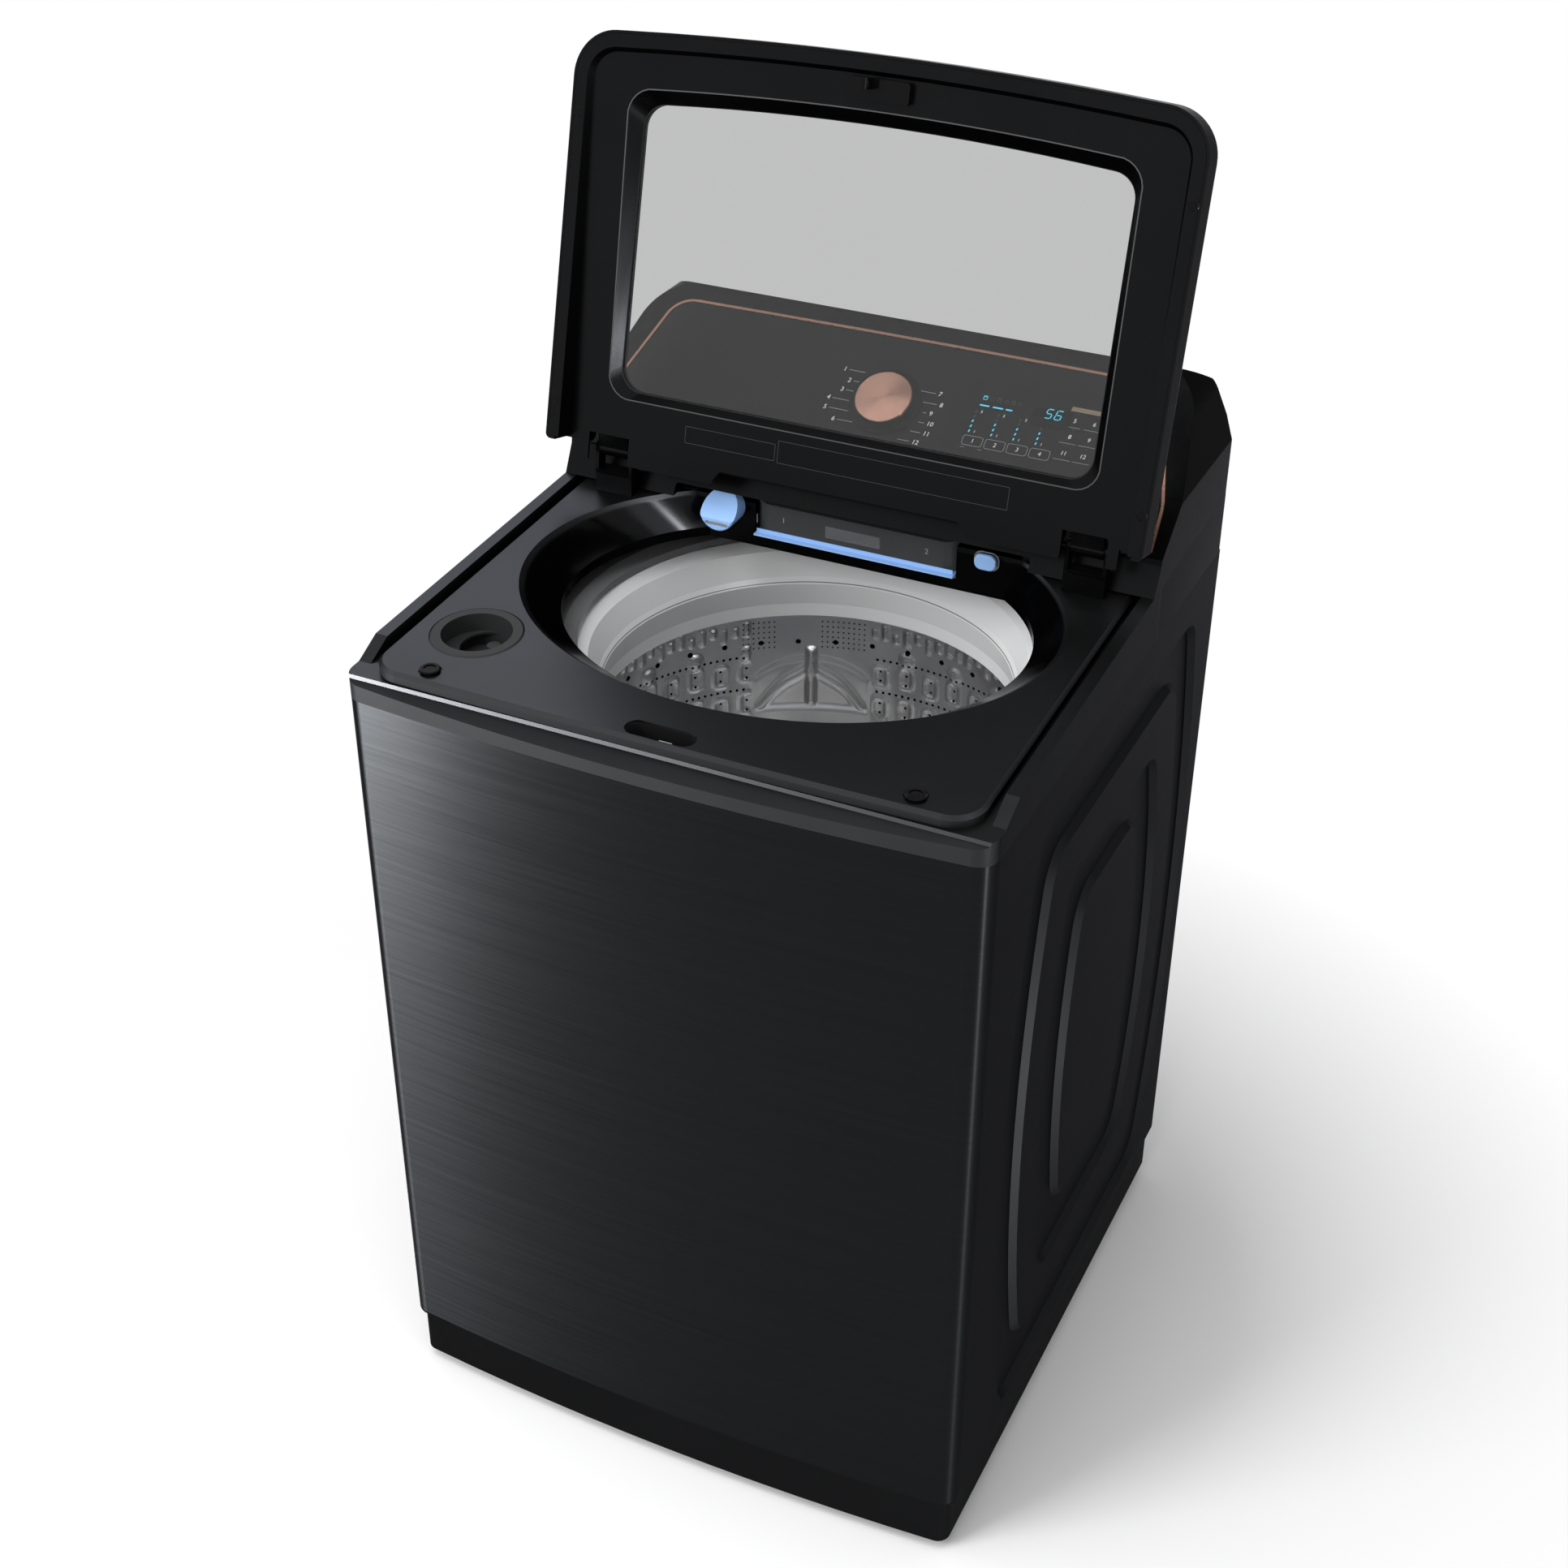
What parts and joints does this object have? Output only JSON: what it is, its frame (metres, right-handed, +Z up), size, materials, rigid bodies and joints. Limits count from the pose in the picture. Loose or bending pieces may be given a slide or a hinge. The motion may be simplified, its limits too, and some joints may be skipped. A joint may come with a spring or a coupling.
{
  "type": "top load washing machine",
  "caption": "Top load washing machine with a bowed steel cabinet, open glass lid, leaning console with one dial, and a drum with a balance ring and wash plate.",
  "frame": {"origin": "centre of the bounding box on the floor, under the machine", "axes": "+X to the machine's right as its user sees it, +Y to the back, +Z up; the lid stands open"},
  "size_m": [0.7, 0.744, 1.4937],
  "materials": {
    "black_steel": "brushed black stainless coating",
    "zinc_panel": "galvanised sheet",
    "zinc_steel": "zinc plated",
    "base_plastic": "fine grained",
    "cover_plastic": "satin",
    "console_plastic": "satin gloss",
    "fascia_plastic": "satin film",
    "dark_plastic": "moulded",
    "gloss_black": "polished",
    "blue_plastic": "satin",
    "white_plastic": "moulded",
    "tub_plastic": "moulded",
    "ring_plastic": "satin",
    "rose_metal": "anodised, finely turned",
    "drum_steel": "bright stainless",
    "cast_metal": "die cast",
    "copper_winding": "enamelled wire",
    "circuit_board": "lacquered",
    "rubber": "matt",
    "hose_rubber": "ribbed hose",
    "glass": "clear tempered"
  },
  "bodies": {
    "cabinet": {"cabinet_wrap": "black_steel", "rear_panel": "zinc_panel", "base_frame": "base_plastic", "suspension_gussets": "zinc_steel", "top_cover": "cover_plastic", "bleach_cup": "cover_plastic", "deck_bumpers": "rubber", "lid_lock_housing": "dark_plastic", "water_jet_nozzle": "blue_plastic", "nozzle_insert": "zinc_steel", "button_ring": "zinc_steel", "dispenser_housing": "dark_plastic", "console_housing": "console_plastic", "console_fascia": "fascia_plastic", "console_trim": "rose_metal", "display_window": "gloss_black", "control_board": "circuit_board", "dial_encoder": "zinc_steel", "dial_bezel": "gloss_black", "inlet_valves": "white_plastic", "fill_hose": "rubber", "pressure_switch": "white_plastic", "drain_outlet": "dark_plastic", "cord_grommet": "rubber", "suspension_rods": "zinc_steel", "hinge_brackets": "dark_plastic", "hinge_pins": "zinc_steel"},
    "lid": {"lid_outer_frame": "console_plastic", "lid_inner_frame": "console_plastic", "lid_glass": "glass", "lid_glass_seal": "rubber", "lid_striker": "dark_plastic", "lid_hinge_arms": "dark_plastic"},
    "tub": {"outer_tub": "tub_plastic", "tub_cover": "gloss_black", "bearing_housing": "cast_metal", "bearings": "zinc_steel", "shaft_seal": "rubber", "motor_stator": "copper_winding", "suspension_cups": "tub_plastic", "drain_pump": "white_plastic", "drain_hose": "hose_rubber"},
    "basket": {"drum_shell": "drum_steel", "drum_base": "drum_steel", "balance_ring": "ring_plastic", "spin_shaft": "zinc_steel"},
    "wash_plate": {"pulsator": "tub_plastic", "wash_shaft": "zinc_steel", "motor_rotor": "zinc_panel"},
    "pump_rotor": {"pump_impeller": "dark_plastic"},
    "drawer": {"drawer_tray": "dark_plastic", "drawer_front": "gloss_black", "drawer_lip": "blue_plastic"},
    "dial": {"dial_knob": "rose_metal"},
    "water_button": {"jet_button": "blue_plastic"},
    "lid_bolt": {"lock_bolt": "zinc_steel"},
    "leg_1": {"foot_1": "rubber"},
    "leg_2": {"foot_2": "rubber"},
    "leg_3": {"foot_3": "rubber"},
    "leg_4": {"foot_4": "rubber"}
  },
  "joints": [
    {"name": "lid_hinge", "type": "hinge", "parent": "cabinet", "child": "lid", "pos_m": [0, 0.08797, 1.04269], "axis": [1, 0, 0], "range_deg": [0, 107.2]},
    {"name": "tub_bounce", "type": "slide", "parent": "cabinet", "child": "tub", "axis": [0, 0, 1], "range_m": [-0.018, 0.01], "stiffness_N_per_m": 12000, "springref_m": 0.0394, "deforming": ["drain_hose"]},
    {"name": "drum_spin", "type": "hinge", "parent": "tub", "child": "basket", "pos_m": [0, 0, 0.5], "axis": [0, 0, 1], "continuous": true},
    {"name": "wash_plate_spin", "type": "hinge", "parent": "basket", "child": "wash_plate", "pos_m": [0, 0, 0.35], "axis": [0, 0, 1], "continuous": true},
    {"name": "pump_spin", "type": "hinge", "parent": "tub", "child": "pump_rotor", "pos_m": [0.17, 0.17, 0.26], "axis": [0, 0, 1], "continuous": true},
    {"name": "drawer_slide", "type": "slide", "parent": "cabinet", "child": "drawer", "axis": [0, -1, 0], "range_m": [0, 0.11]},
    {"name": "dial_turn", "type": "hinge", "parent": "cabinet", "child": "dial", "pos_m": [-0.0035, 0.19862, 1.1133], "axis": [0, -0.6018, 0.7986], "continuous": true},
    {"name": "water_button_press", "type": "slide", "parent": "cabinet", "child": "water_button", "axis": [0, 1, 0], "range_m": [0, 0.003], "stiffness_N_per_m": 400, "springref_m": -0.001},
    {"name": "lid_bolt_slide", "type": "slide", "parent": "cabinet", "child": "lid_bolt", "axis": [-1, 0, 0], "range_m": [0, 0.009]},
    {"name": "leg_1_screw", "type": "slide", "parent": "cabinet", "child": "leg_1", "axis": [0, 0, -1], "range_m": [0, 0.015]},
    {"name": "leg_2_screw", "type": "slide", "parent": "cabinet", "child": "leg_2", "axis": [0, 0, -1], "range_m": [0, 0.015]},
    {"name": "leg_3_screw", "type": "slide", "parent": "cabinet", "child": "leg_3", "axis": [0, 0, -1], "range_m": [0, 0.015]},
    {"name": "leg_4_screw", "type": "slide", "parent": "cabinet", "child": "leg_4", "axis": [0, 0, -1], "range_m": [0, 0.015]}
  ]
}
